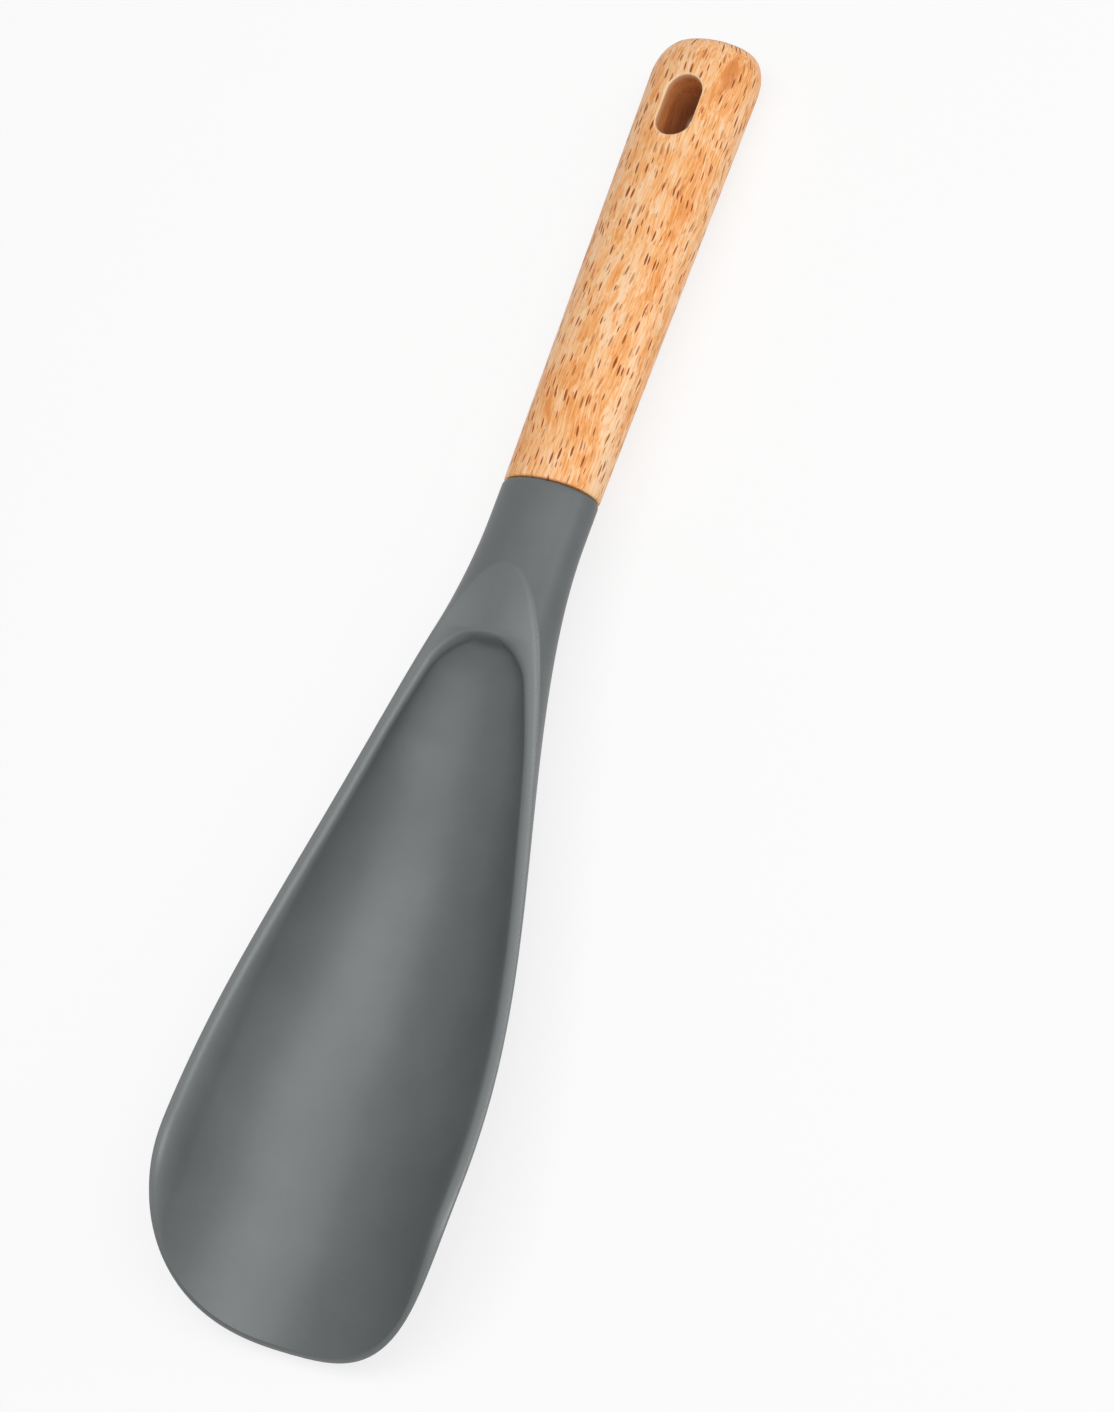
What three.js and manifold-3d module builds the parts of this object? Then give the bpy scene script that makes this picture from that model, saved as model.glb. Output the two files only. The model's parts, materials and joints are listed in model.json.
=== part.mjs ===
// A long cooking spoon: a beech handle with a hanging slot, and a silicone head moulded over a nylon core
// whose tang is glued into the handle. Millimetres.
//
// Each piece is drawn on the spoon's own axes: X across, Y along the handle towards its butt, Z out of the
// bowl. Wood meets silicone at Y = 0, and the reach of a point of the head is its distance -Y from there.
// The finished spoon lies on its back on the plane Z = 0.

import * as THREE from 'three';
import { mergeVertices } from 'three/addons/utils/BufferGeometryUtils.js';
import Module from 'manifold-3d';

const wasm = await Module();
wasm.setup();

// Clearances
const FIT = 0.3; // between pieces that are moulded or glued together
const SEAM = 0.3; // between the wood and the collar, the dark line round the joint

// Handle
const HANDLE_LENGTH = 119;
const JOINT_WIDTH = 24;
const JOINT_THICKNESS = 16.6;
const BUTT_WIDTH = 27.8;
const BUTT_THICKNESS = 18.2;
const BUTT_ROUND_LENGTH = 9.5; // along the handle
const BUTT_ROUND_SIDE = 5.3; // how far the rounding draws each side in
const BUTT_ROUND_FACE = 3.6; // how far it draws the front and back in
const WOOD_EDGE = 0.6; // eased edge of the wood at the joint
const SLOT_LENGTH = 16.3;
const SLOT_WIDTH = 9;
const SLOT_FROM_BUTT = 19.8; // centre of the slot

// Glued joint
const BORE_WALL = 2.8; // wood left in front of the bore and behind it
const DRILL_POINT = 2.4; // cone at the bottom of the bore
const GLUE_WALL = 0.7;
const GLUE_END = 3; // glue past the end of the tang
const GLUE_SETBACK = 1.5; // from the mouth of the bore
const TANG_LENGTH = 38; // inside the wood
const TANG_CHAMFER = 1;
const GROOVES = 4;
const GROOVE_WIDTH = 3;
const GROOVE_DEPTH = 0.8;

// Head, outside: oval sections that swell from the neck into the bowl
const HEAD_LENGTH = 200.8;
const COLLAR_ROUND = 0.9;
const BOWL_RADIUS = 41; // half width of the oval that the bowl's sections are cut from
const SWELL_START = 9.5;
const SWELL_END = 159;
const KEEL_DROP = 18.3; // from the bottom of the neck to the bottom of the bowl
const KEEL_START = 10;
const KEEL_END = 142;
const OVAL_RISE = 16.2; // how far the middle of the oval climbs above the handle's axis
const RISE_START = 30;
const RISE_END = 190;

// Head, top: one long arc cuts the flat on the neck and the rim of the bowl
const FACET_START = 21.7; // where the arc meets the top of the neck
const RIM_RADIUS = 518;
const RIM_LOW = -2.6; // height of the arc's lowest point
const RIM_WIDTH = 3.5;
const RIM_EDGE = 0.8; // rounding of the rim's edges
const TIP_LENGTH = 40.5; // over which the plan outline closes
const TIP_POWER_ALONG = 2.3; // 2 is an ellipse, more is squarer
const TIP_POWER_ACROSS = 3.2;
const LIP = 0.8; // the rim's width at the tip
const LIP_SETBACK = 16; // from where the rim is down to the lip's width to the tip
const LIP_FADE = 17; // over which the rim narrows to the lip

// Head, inside of the bowl
const CAVITY_START = 37.8;
const ARCH_LENGTH = 9.8; // plan arch at the top of the bowl
const ARCH_RIM = 0.7; // extra rim width at the arch
const ARCH_FADE = 30; // over which the extra width dies out
const RAMP_LENGTH = 26; // over which the bowl reaches its full depth
const NECK_FLOOR = 7.5; // thickness of the floor by the neck
const BOWL_FLOOR = 3.5;
const FLOOR_END = 95; // where the floor is down to the bowl's thickness
const TIP_FLOOR = 1.3;
const THIN_LENGTH = 71; // over which the floor thins to the tip

// Core
const STEM_COVER_SIDE = 5; // silicone at each side of the stem, in the neck
const STEM_COVER_FACE = 3.5; // silicone in front of the stem and behind it
const SHOULDER_REACH = 2.5; // top of the stem, inside the collar
const SHOULDER_ROUND = 2;
const SINK_BEFORE = 16; // from where the stem leaves the middle of the neck to the cavity's start
const SINK_AFTER = 18; // from the cavity's start to where the stem has become a blade in the floor
const BLADE_WIDTH = 42;
const BLADE_SHARE = 0.4; // of the floor's thickness
const SPREAD_START = 30; // where the stem starts to widen
const SPREAD_END = 110; // where the blade has its full width
const BLADE_SETBACK = 61; // from the blade's end to the tip
const BLADE_NOSE = 28; // length of the blade's rounded end
const KEY_HOLE = 7; // diameter of the holes that key the silicone to the blade
const KEY_HOLES = 3;

// Fineness of the facets
const HANDLE_SIDES = 40;
const HANDLE_RINGS = 4;
const BUTT_RINGS = 7;
const SLOT_SEGMENTS = 10;
const OUTER_POINTS = 13;
const INNER_POINTS = 10;
const NECK_RINGS = 3;
const FACET_RINGS = 6;
const ARCH_RINGS = 6;
const BOWL_RINGS = 12;
const TIP_RINGS = 12;
const BLADE_POINTS = 8;
const CORE_RINGS = 16;
const NOSE_RINGS = 7;
const ROUND_POINTS = 3; // on each small rounding
const ROUND_SIDES = 24; // on round bores and pins
const WELD = 1e-5; // points nearer than this are one point
const OVERCUT = 2; // how far cutting bodies run past what they cut
const REST_TURNS = 10; // tries at laying the spoon down

// Sizes that follow from those above
const jointA = JOINT_WIDTH / 2;
const jointB = JOINT_THICKNESS / 2;
const boreRadius = jointB - BORE_WALL;
const glueRadius = boreRadius - FIT;
const tangRadius = glueRadius - GLUE_WALL - FIT;
const tangEnd = SEAM + TANG_LENGTH;
const glueEnd = tangEnd + FIT + GLUE_END;
const stemA = jointA - STEM_COVER_SIDE - FIT;
const stemB = jointB - STEM_COVER_FACE - FIT;
const stemTop = SHOULDER_REACH + SHOULDER_ROUND;
const archEnd = CAVITY_START + ARCH_LENGTH;
const tipStart = HEAD_LENGTH - TIP_LENGTH;
const lipStart = HEAD_LENGTH - LIP_SETBACK;
const thinStart = HEAD_LENGTH - THIN_LENGTH;
const sinkStart = CAVITY_START - SINK_BEFORE;
const sinkEnd = CAVITY_START + SINK_AFTER;
const bladeEnd = HEAD_LENGTH - BLADE_SETBACK;
const noseStart = bladeEnd - BLADE_NOSE;

const smooth = THREE.MathUtils.smoothstep;
const mix = THREE.MathUtils.lerp;
const QUARTER = Math.PI / 2;
const point = (x, y, z) => new THREE.Vector3(x, y, z);
const unit = (value) => THREE.MathUtils.clamp(value, -1, 1);

// Even steps from a to b, both included
function steps(a, b, count) {
  return Array.from({ length: count + 1 }, (_, i) => mix(a, b, i / count));
}

// Bodies

// A closed geometry as a solid that can be joined and cut
function solid(geometry) {
  const bare = geometry.clone();
  for (const name of ['normal', 'uv']) bare.deleteAttribute(name);
  const merged = mergeVertices(bare, WELD);
  const triangles = [];
  for (let i = 0; i < merged.index.count; i += 3) {
    const corners = [0, 1, 2].map((k) => merged.index.getX(i + k));
    if (new Set(corners).size === 3) triangles.push(...corners);
  }
  return new wasm.Manifold(new wasm.Mesh({
    numProp: 3,
    vertProperties: Float32Array.from(merged.attributes.position.array),
    triVerts: Uint32Array.from(triangles),
  }));
}

// A solid as a geometry again
function shape(body) {
  const mesh = body.getMesh();
  const geometry = new THREE.BufferGeometry();
  geometry.setAttribute('position', new THREE.BufferAttribute(mesh.vertProperties, 3));
  geometry.setIndex(new THREE.BufferAttribute(mesh.triVerts, 1));
  geometry.computeVertexNormals();
  return geometry;
}

// A closed body through a row of rings that all have the same number of points. Both ends are closed by a
// fan from the ring's middle, which vanishes where the ring has shrunk to a line.
function loft(rings) {
  const count = rings[0].length;
  const points = rings.flat();
  const last = points.length - count;
  const index = [];
  for (let start = 0; start < last; start += count) {
    for (let i = 0; i < count; i += 1) {
      const a = start + i;
      const b = start + ((i + 1) % count);
      index.push(a, b, a + count, b, b + count, a + count);
    }
  }
  for (const start of [0, last]) {
    const hub = points.length;
    const ring = points.slice(start, start + count);
    points.push(ring.reduce((sum, p) => sum.add(p), point(0, 0, 0)).divideScalar(count));
    for (let i = 0; i < count; i += 1) {
      const edge = [start + i, start + ((i + 1) % count)];
      index.push(...(start === 0 ? edge.reverse() : edge), hub);
    }
  }
  const geometry = new THREE.BufferGeometry().setFromPoints(points);
  geometry.setIndex(index);
  return geometry;
}

// A body turned about the handle's axis, from (radius, y) pairs that start and end on the axis
function turned(profile) {
  return solid(new THREE.LatheGeometry(profile.map(([r, y]) => new THREE.Vector2(r, y)), ROUND_SIDES));
}

// Handle

// The handle's oval at a distance y from the joint, drawn in by the insets
function handleRing(y, insetSide, insetFace) {
  const share = y / HANDLE_LENGTH;
  const a = mix(JOINT_WIDTH, BUTT_WIDTH, share) / 2 - insetSide;
  const b = mix(JOINT_THICKNESS, BUTT_THICKNESS, share) / 2 - insetFace;
  return steps(2 * Math.PI, 0, HANDLE_SIDES).slice(1)
    .map((angle) => point(a * Math.cos(angle), y, b * Math.sin(angle)));
}

function handleRings() {
  const rings = [];
  for (const q of steps(0, QUARTER, ROUND_POINTS)) {
    const inset = WOOD_EDGE * (1 - Math.sin(q));
    rings.push(handleRing(SEAM + WOOD_EDGE * (1 - Math.cos(q)), inset, inset));
  }
  const roundStart = HANDLE_LENGTH - BUTT_ROUND_LENGTH;
  for (const y of steps(SEAM + WOOD_EDGE, roundStart, HANDLE_RINGS).slice(1, -1)) {
    rings.push(handleRing(y, 0, 0));
  }
  for (const q of steps(0, QUARTER, BUTT_RINGS)) {
    const y = roundStart + BUTT_ROUND_LENGTH * Math.sin(q);
    const inset = 1 - Math.cos(q);
    rings.push(handleRing(y, BUTT_ROUND_SIDE * inset, BUTT_ROUND_FACE * inset));
  }
  return rings;
}

// Obround cutter through the handle from front to back
function hangingSlot() {
  const r = SLOT_WIDTH / 2;
  const half = SLOT_LENGTH / 2 - r;
  const outline = new THREE.Shape();
  outline.absarc(0, half, r, 0, Math.PI);
  outline.absarc(0, -half, r, Math.PI, 2 * Math.PI);
  const depth = Math.max(JOINT_THICKNESS, BUTT_THICKNESS) + 2 * OVERCUT;
  const cutter = new THREE.ExtrudeGeometry(outline, {
    depth,
    bevelEnabled: false,
    curveSegments: SLOT_SEGMENTS,
  });
  return solid(cutter.translate(0, HANDLE_LENGTH - SLOT_FROM_BUTT, -depth / 2));
}

function handle() {
  const bore = turned([
    [0, -OVERCUT],
    [boreRadius, -OVERCUT],
    [boreRadius, glueEnd + FIT],
    [0, glueEnd + FIT + DRILL_POINT],
  ]);
  return shape(solid(loft(handleRings())).subtract(bore).subtract(hangingSlot()));
}

// Head, as functions of the reach

const halfWidth = (reach) => mix(jointA, BOWL_RADIUS, smooth(reach, SWELL_START, SWELL_END));
const middle = (reach) => OVAL_RISE * smooth(reach, RISE_START, RISE_END);
const keel = (reach) => -jointB - KEEL_DROP * smooth(reach, KEEL_START, KEEL_END);
const drop = (reach) => middle(reach) - keel(reach);
const crown = (reach) => middle(reach) + drop(reach); // top of the uncut oval

const rimLowReach = FACET_START + Math.sqrt(2 * RIM_RADIUS * (crown(FACET_START) - RIM_LOW));
const rim = (reach) => RIM_LOW + (reach - rimLowReach) ** 2 / (2 * RIM_RADIUS);

// Angle on the oval, up from its widest point, at which the rim's arc cuts it
const rimAngle = (reach) => Math.asin(unit((rim(reach) - middle(reach)) / drop(reach)));
const rimHalfWidth = (reach) => halfWidth(reach) * Math.cos(rimAngle(reach));

function floorThickness(reach) {
  const body = mix(NECK_FLOOR, BOWL_FLOOR, smooth(reach, archEnd, FLOOR_END));
  return body - (BOWL_FLOOR - TIP_FLOOR) * smooth(reach, thinStart, HEAD_LENGTH);
}

function rimWidth(reach) {
  const extra = ARCH_RIM * (1 - smooth(reach, CAVITY_START, CAVITY_START + ARCH_FADE));
  return mix(RIM_WIDTH + extra, LIP, smooth(reach, lipStart - LIP_FADE, lipStart));
}

// Height of the head's outer skin below its widest line
function skin(x, reach) {
  return middle(reach) - drop(reach) * Math.sqrt(1 - unit(x / halfWidth(reach)) ** 2);
}

// Quarter-round growth from 0 to 1 over a length, upright where the cavity starts
function arch(reach, length) {
  return Math.sqrt(1 - THREE.MathUtils.clamp(1 - (reach - CAVITY_START) / length, 0, 1) ** 2);
}

// Outer half section from the keel up to the rim, or to the crown of the neck. The tip factor narrows it.
function outerHalf(reach, tip) {
  const narrowed = -Math.acos(unit((tip * rimHalfWidth(reach)) / halfWidth(reach)));
  const edge = tip < 1 ? narrowed : rimAngle(reach);
  return steps(-QUARTER, edge, OUTER_POINTS).map((angle) => point(
    halfWidth(reach) * Math.cos(angle),
    -reach,
    middle(reach) + drop(reach) * Math.sin(angle),
  ));
}

// Inner half section from the rim down to the middle of the floor: part of an oval that is widest at the rim,
// or above it where the outer oval is
function innerHalf(reach, tip) {
  const top = Math.min(rim(reach), crown(reach));
  if (reach <= CAVITY_START) return Array(INNER_POINTS + 1).fill(point(0, -reach, top));
  const half = (rimHalfWidth(reach) - rimWidth(reach)) * arch(reach, ARCH_LENGTH);
  const depth = (top - keel(reach) - floorThickness(reach)) * arch(reach, RAMP_LENGTH);
  const centre = Math.max(top, middle(reach));
  const fall = centre - top + depth;
  const rimEdge = Math.asin((centre - top) / fall);
  const wide = half / Math.cos(rimEdge);
  const edge = tip < 1 ? Math.acos(unit((tip * half) / wide)) : rimEdge;
  return steps(edge, QUARTER, INNER_POINTS).map((angle) => point(
    wide * Math.cos(angle),
    -reach,
    centre - fall * Math.sin(angle),
  ));
}

// Rounds a corner: a curve that leaves and meets its two sides RIM_EDGE away, or half way along a short side
function rounded(before, corner, after) {
  const share = (p) => Math.min(RIM_EDGE / p.distanceTo(corner), 1 / 2);
  const start = corner.clone().lerp(before, share(before));
  const end = corner.clone().lerp(after, share(after));
  return new THREE.QuadraticBezierCurve3(start, corner, end).getPoints(ROUND_POINTS);
}

// Whole section: outer skin, rim, inside of the bowl, and the same mirrored
function headRing(outerReach, innerReach, tip) {
  const outer = outerHalf(outerReach, tip);
  const inner = innerHalf(innerReach, tip);
  const half = [
    ...outer.slice(0, -1),
    ...rounded(outer.at(-2), outer.at(-1), inner[0]),
    ...rounded(outer.at(-1), inner[0], inner[1]),
    ...inner.slice(1),
  ];
  const mirrored = half.slice(1, -1).reverse().map((p) => point(-p.x, p.y, p.z));
  return [...half, ...mirrored];
}

function headRings() {
  const rings = [];
  for (const q of steps(0, QUARTER, ROUND_POINTS)) {
    const reach = COLLAR_ROUND * (1 - Math.cos(q));
    const share = 1 - (COLLAR_ROUND / jointA) * (1 - Math.sin(q));
    rings.push(headRing(reach, reach, 1).map((p) => point(p.x * share, p.y, p.z * share)));
  }
  const reaches = [
    ...steps(COLLAR_ROUND, FACET_START, NECK_RINGS).slice(1),
    ...steps(0, 1, FACET_RINGS).slice(1).map((u) => mix(FACET_START, CAVITY_START, u * u)),
    ...steps(0, QUARTER, ARCH_RINGS).slice(1).map((q) => mix(CAVITY_START, archEnd, 1 - Math.cos(q))),
    ...steps(archEnd, tipStart, BOWL_RINGS).slice(1),
  ];
  for (const reach of reaches) rings.push(headRing(reach, reach, 1));
  for (const q of steps(0, QUARTER, TIP_RINGS).slice(1)) {
    const along = Math.sin(q) ** (2 / TIP_POWER_ALONG);
    const across = Math.cos(q) ** (2 / TIP_POWER_ACROSS);
    const innerReach = mix(tipStart, HEAD_LENGTH - LIP, along);
    rings.push(headRing(mix(tipStart, HEAD_LENGTH, along), innerReach, across));
  }
  return rings;
}

// Core

// Round tang with glue grooves, from inside the stem to its end in the handle, grown by a clearance
function tang(grow) {
  const r = tangRadius + grow;
  const end = tangEnd + grow;
  const half = GROOVE_WIDTH / 2 - grow;
  const profile = [[0, -stemTop], [r, -stemTop]];
  for (const y of steps(SEAM, tangEnd, GROOVES + 1).slice(1, -1)) {
    profile.push([r, y - half], [r - GROOVE_DEPTH, y - half]);
    profile.push([r - GROOVE_DEPTH, y + half], [r, y + half]);
  }
  profile.push([r, end - TANG_CHAMFER], [r - TANG_CHAMFER, end], [0, end]);
  return turned(profile);
}

// Section of the core: a bar with round sides, which sinks and flattens from the stem into the blade that
// follows the floor of the bowl. The shares give the smaller sections of a rounded end.
function coreRing(reach, shareWide, shareThick, grow) {
  const sink = smooth(reach, sinkStart, sinkEnd);
  const spread = smooth(reach, SPREAD_START, SPREAD_END);
  const floor = floorThickness(reach);
  const wide = mix(stemA, BLADE_WIDTH / 2, spread) * shareWide + grow;
  const thick = mix(stemB, (BLADE_SHARE * floor) / 2, sink) * shareThick + grow;
  const round = Math.min(wide, thick);
  const flat = wide - round;
  const side = steps(-QUARTER, QUARTER, 2 * ROUND_POINTS).map((angle) => [
    flat + round * Math.cos(angle),
    thick * Math.sin(angle),
  ]);
  const face = steps(flat, -flat, BLADE_POINTS).slice(1, -1).map((x) => [x, thick]);
  const half = [...side, ...face];
  return [...half, ...half.map(([x, z]) => [-x, -z])].map(([x, z]) => {
    const lift = sink * (skin(x, reach) + floor / 2);
    return point(x, -reach, lift + z);
  });
}

// Stem and blade, grown by a clearance
function stemAndBlade(grow) {
  const rings = [];
  for (const q of steps(0, QUARTER, ROUND_POINTS)) {
    const reach = SHOULDER_REACH - grow + SHOULDER_ROUND * (1 - Math.cos(q));
    const inset = SHOULDER_ROUND * (1 - Math.sin(q));
    rings.push(coreRing(reach, 1 - inset / stemA, 1 - inset / stemB, grow));
  }
  for (const reach of steps(stemTop, noseStart, CORE_RINGS).slice(1)) {
    rings.push(coreRing(reach, 1, 1, grow));
  }
  for (const q of steps(0, QUARTER, NOSE_RINGS).slice(1)) {
    rings.push(coreRing(noseStart + (BLADE_NOSE + grow) * Math.sin(q), Math.cos(q), 1, grow));
  }
  return solid(loft(rings));
}

// Row of upright cylinders down the middle of the blade
function keys(diameter) {
  const height = BOWL_FLOOR + 2 * OVERCUT;
  const row = steps(sinkEnd, bladeEnd, KEY_HOLES + 1).slice(1, -1).map((reach) => {
    const key = new THREE.CylinderGeometry(diameter / 2, diameter / 2, height, ROUND_SIDES);
    key.rotateX(QUARTER);
    return solid(key.translate(0, -reach, keel(reach) + floorThickness(reach) / 2));
  });
  return row.reduce((all, key) => all.add(key));
}

function core() {
  return shape(stemAndBlade(0).add(tang(0)).subtract(keys(KEY_HOLE)));
}

// The space in the head that the core fills, with the silicone keys left standing in the blade's holes
function corePocket() {
  const passage = turned([
    [0, -stemTop - FIT],
    [tangRadius + FIT, -stemTop - FIT],
    [tangRadius + FIT, OVERCUT],
    [0, OVERCUT],
  ]);
  return stemAndBlade(FIT).subtract(keys(KEY_HOLE - 2 * FIT)).add(passage);
}

function head() {
  return shape(solid(loft(headRings())).subtract(corePocket()));
}

// Cured glue: a cup between the bore and the tang, that fills the tang's grooves
function glue() {
  const filled = turned([
    [0, SEAM + GLUE_SETBACK],
    [glueRadius, SEAM + GLUE_SETBACK],
    [glueRadius, glueEnd],
    [0, glueEnd],
  ]);
  return shape(filled.subtract(tang(FIT)));
}

// Assembly

function piece(name, geometry, color, roughness) {
  const material = new THREE.MeshStandardMaterial({ color, roughness, metalness: 0 });
  const mesh = new THREE.Mesh(geometry, material);
  mesh.name = name;
  return mesh;
}

const beechHandle = piece('beech_handle', handle(), 0xd9a066, 0.45);
const siliconeHead = piece('silicone_head', head(), 0x686d6e, 0.6);
const nylonCore = piece('nylon_core', core(), 0xe6e1d3, 0.5);
const epoxyBond = piece('epoxy_bond', glue(), 0xd8c58a, 0.3);

// Lowest vertex of a piece once the spoon is turned about X
function lowest(mesh, turn) {
  const position = mesh.geometry.attributes.position;
  const points = Array.from({ length: position.count }, (_, i) => point().fromBufferAttribute(position, i));
  const height = (p) => p.y * Math.sin(turn) + p.z * Math.cos(turn);
  return points.reduce((best, p) => (height(p) < height(best) ? p : best));
}

// Turn at which the back of the bowl and the butt of the handle both touch the table
function restingTurn() {
  let turn = 0;
  for (let i = 0; i < REST_TURNS; i += 1) {
    const back = lowest(siliconeHead, turn);
    const butt = lowest(beechHandle, turn);
    turn = Math.atan2(back.z - butt.z, butt.y - back.y);
  }
  return turn;
}

const spoon = new THREE.Group();
spoon.add(beechHandle, siliconeHead, nylonCore, epoxyBond);
spoon.rotation.x = restingTurn();

const part = new THREE.Group();
part.add(spoon);
part.updateMatrixWorld(true);
const box = new THREE.Box3().setFromObject(part, true);
spoon.position.set(-(box.min.x + box.max.x) / 2, -(box.min.y + box.max.y) / 2, -box.min.z);
part.updateMatrixWorld(true);

export default part;
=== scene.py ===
# The silicone spoon, dressed for its photograph: a lacquered beech handle and a matte grey silicone head,
# on a white floor. The pieces repeat the formulas of the part's solids with finer rings. They are drawn in
# millimetres on the spoon's own axes (X across, Y along the handle to its butt, Z out of the bowl, wood meets
# silicone at Y = 0) and laid in the frame, in metres, where the part's mounts are.
import json
import math

import bmesh
import bpy
from mathutils import Matrix, Vector


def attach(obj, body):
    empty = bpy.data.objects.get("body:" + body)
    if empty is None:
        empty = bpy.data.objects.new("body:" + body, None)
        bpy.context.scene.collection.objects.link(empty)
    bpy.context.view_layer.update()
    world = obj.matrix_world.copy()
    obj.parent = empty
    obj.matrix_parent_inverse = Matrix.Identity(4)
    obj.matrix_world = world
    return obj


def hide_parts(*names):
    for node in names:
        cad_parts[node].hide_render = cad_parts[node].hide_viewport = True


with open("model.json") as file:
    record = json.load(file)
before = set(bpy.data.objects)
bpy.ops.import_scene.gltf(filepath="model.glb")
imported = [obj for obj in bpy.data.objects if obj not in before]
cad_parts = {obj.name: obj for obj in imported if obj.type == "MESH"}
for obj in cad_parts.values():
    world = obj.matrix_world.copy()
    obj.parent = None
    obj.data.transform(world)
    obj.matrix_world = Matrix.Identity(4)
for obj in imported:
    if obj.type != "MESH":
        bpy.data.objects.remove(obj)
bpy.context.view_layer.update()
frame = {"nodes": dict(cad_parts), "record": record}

PER_METRE = 1000
QUARTER = math.pi / 2

# Sizes in millimetres, as in the part's solids
SEAM = 0.3
HANDLE_LENGTH = 119.0
JOINT_A = 12.0
JOINT_B = 8.3
BUTT_A = 13.9
BUTT_B = 9.1
BUTT_ROUND_LENGTH = 9.5
BUTT_ROUND_SIDE = 5.3
BUTT_ROUND_FACE = 3.6
WOOD_EDGE = 0.6
SLOT_R = 4.5
SLOT_HALF = 8.15 - SLOT_R
SLOT_Y = HANDLE_LENGTH - 19.8
SLOT_EDGE = 0.5
BORE_R = 5.5
BORE_DEPTH = 41.9
DRILL_POINT = 2.4
PASSAGE_R = 4.5
PASSAGE_DEPTH = 4.8
HEAD_LENGTH = 200.8
COLLAR_ROUND = 0.9
BOWL_RADIUS = 41.0
SWELL_START = 9.5
SWELL_END = 159.0
KEEL_DROP = 18.3
KEEL_START = 10.0
KEEL_END = 142.0
OVAL_RISE = 16.2
RISE_START = 30.0
RISE_END = 190.0
FACET_START = 21.7
RIM_RADIUS = 518.0
RIM_LOW = -2.6
RIM_WIDTH = 3.5
RIM_OUTER_EDGE = 1.0
RIM_INNER_EDGE = 1.5
TIP_START = HEAD_LENGTH - 40.5
TIP_POWER_ALONG = 2.3
TIP_POWER_ACROSS = 3.2
LIP = 0.8
LIP_START = HEAD_LENGTH - 7.0
LIP_FADE = 26.0
CAVITY_START = 37.8
ARCH_LENGTH = 9.8
ARCH_RIM = 0.7
ARCH_FADE = 30.0
RAMP_LENGTH = 26.0
NECK_FLOOR = 7.5
BOWL_FLOOR = 3.5
FLOOR_END = 95.0
TIP_FLOOR = 1.3
THIN_START = HEAD_LENGTH - 71.0
ARCH_END = CAVITY_START + ARCH_LENGTH

# Where the spoon lies: the butt's mount gives the handle's direction, and the slot's mount a point on its axis
mounts = {m["name"]: m for m in frame["record"]["mounts"]}
handle_axis = Vector(mounts["butt_face"]["axis"])
turn = math.atan2(handle_axis.z, handle_axis.y)
slot_at = Vector(mounts["hang_slot"]["pos_m"])
upright = Matrix.Rotation(turn, 4, "X")
from_slot = Matrix.Translation((0, -SLOT_Y / PER_METRE, 0)) @ Matrix.Scale(1 / PER_METRE, 4)
lay = Matrix.Translation(slot_at) @ upright @ from_slot


def mix(a, b, u):
    return a + (b - a) * u


def clamp(value, low, high):
    return max(low, min(high, value))


def smooth(value, low, high):
    u = clamp((value - low) / (high - low), 0, 1)
    return u * u * (3 - 2 * u)


def steps(a, b, count):
    return [mix(a, b, i / count) for i in range(count + 1)]


# Meshes

MERGE_DISTANCE = 2e-7
SHARP_ANGLE = math.radians(50)


def mesh_piece(name, points, faces, material_of_face=None, highlight_share=None):
    """A closed mesh from points in millimetres on the spoon's axes, laid in the frame and shaded smooth.

    Each face may have the number of a material, and each point a share from 0 to 1 of painted highlight that it
    takes.
    """
    mesh = bpy.data.meshes.new(name)
    mesh.from_pydata([lay @ Vector(p) for p in points], [], faces)
    if material_of_face:
        mesh.polygons.foreach_set("material_index", material_of_face)
    if highlight_share:
        mesh.attributes.new("highlight_share", "FLOAT", "POINT").data.foreach_set("value", highlight_share)
    bm = bmesh.new()
    bm.from_mesh(mesh)
    bmesh.ops.remove_doubles(bm, verts=bm.verts, dist=MERGE_DISTANCE)
    bmesh.ops.dissolve_degenerate(bm, edges=bm.edges, dist=MERGE_DISTANCE)
    bmesh.ops.recalc_face_normals(bm, faces=bm.faces)
    for face in bm.faces:
        face.smooth = True
    bm.to_mesh(mesh)
    bm.free()
    mesh.set_sharp_from_angle(angle=SHARP_ANGLE)
    piece = bpy.data.objects.new(name, mesh)
    bpy.context.scene.collection.objects.link(piece)
    return piece


def tube_faces(rings, count):
    """The faces between rings of points, each ring with the same count."""
    faces = []
    for r in range(rings - 1):
        for i in range(count):
            a = r * count + i
            b = r * count + (i + 1) % count
            faces.append((a, b, b + count, a + count))
    return faces


# Head

# Roundings in millimetres that only these finer meshes have
ARCH_EASE = 2.6
WIDEST_ROUND = 4.0
WALL_EASE = 5.0
WALL_EASE_START = 85.0
WALL_EASE_END = 160.0
# How much painted highlight the bowl's rim land takes, from 0 to 1
LAND_HIGHLIGHT = 0.7
# Steps for measuring a slope, and a speed that counts as standing still
NEAR = 0.05
NEAR_SHARE = 0.01
STILL = 1e-6
# Rings along the head, and points from the keel round to the middle of the bowl
COLLAR_RINGS = 6
NECK_RINGS = 12
FACET_RINGS = 24
ARCH_RINGS = 18
BOWL_RINGS = 56
TIP_RINGS = 44
OUTER_POINTS = 44
OUTER_BEND = 7
INNER_BEND = 9
INNER_POINTS = 40


def half_width(reach):
    return mix(JOINT_A, BOWL_RADIUS, smooth(reach, SWELL_START, SWELL_END))


def middle(reach):
    return OVAL_RISE * smooth(reach, RISE_START, RISE_END)


def keel(reach):
    return -JOINT_B - KEEL_DROP * smooth(reach, KEEL_START, KEEL_END)


def drop(reach):
    return middle(reach) - keel(reach)


def crown(reach):
    return middle(reach) + drop(reach)


rim_low_reach = FACET_START + math.sqrt(2 * RIM_RADIUS * (crown(FACET_START) - RIM_LOW))


def rim(reach):
    return RIM_LOW + (reach - rim_low_reach) ** 2 / (2 * RIM_RADIUS)


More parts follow.
